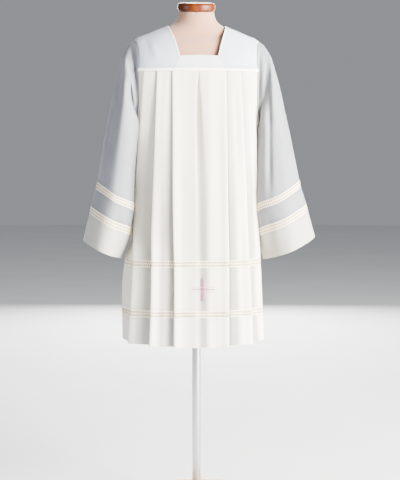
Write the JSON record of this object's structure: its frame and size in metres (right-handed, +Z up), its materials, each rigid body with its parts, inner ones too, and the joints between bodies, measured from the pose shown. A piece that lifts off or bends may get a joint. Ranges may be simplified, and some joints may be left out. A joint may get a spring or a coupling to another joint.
{
  "type": "surplice on dress form",
  "caption": "White pleated surplice with a square yoke, wide sleeves, openwork bands and a small cross, worn by a limbless dress form on a pole and round wooden base.",
  "frame": {"origin": "centre of the base's underside, on the pole's axis", "axes": "+Z up; the garment's front faces -Y; +X is to the right of someone who looks at the front"},
  "size_m": [0.7652, 0.3365, 1.654],
  "materials": {
    "white_cloth": "smooth plain weave, soft sheen",
    "openwork_tape": "cream openwork insertion with stitched holes",
    "form_cover": "pale knitted cover, matt",
    "varnished_wood": "satin varnish",
    "bright_steel": "fine brushed"
  },
  "bodies": {
    "root": {"front_panel": "white_cloth", "front_upper_tape": "openwork_tape", "front_middle_band": "white_cloth", "front_lower_tape": "openwork_tape", "front_hem_band": "white_cloth", "back_panel": "white_cloth", "back_upper_tape": "openwork_tape", "back_middle_band": "white_cloth", "back_lower_tape": "openwork_tape", "back_hem_band": "white_cloth", "yoke_front": "white_cloth", "yoke_back": "white_cloth", "yoke_left_shoulder": "white_cloth", "yoke_right_shoulder": "white_cloth", "left_sleeve_main": "white_cloth", "left_sleeve_upper_tape": "openwork_tape", "left_sleeve_middle": "white_cloth", "left_sleeve_lower_tape": "openwork_tape", "left_sleeve_cuff": "white_cloth", "right_sleeve_main": "white_cloth", "right_sleeve_upper_tape": "openwork_tape", "right_sleeve_middle": "white_cloth", "right_sleeve_lower_tape": "openwork_tape", "right_sleeve_cuff": "white_cloth", "form_torso": "form_cover", "form_cap": "varnished_wood", "form_pole": "bright_steel", "form_base": "varnished_wood"}
  },
  "joints": []
}
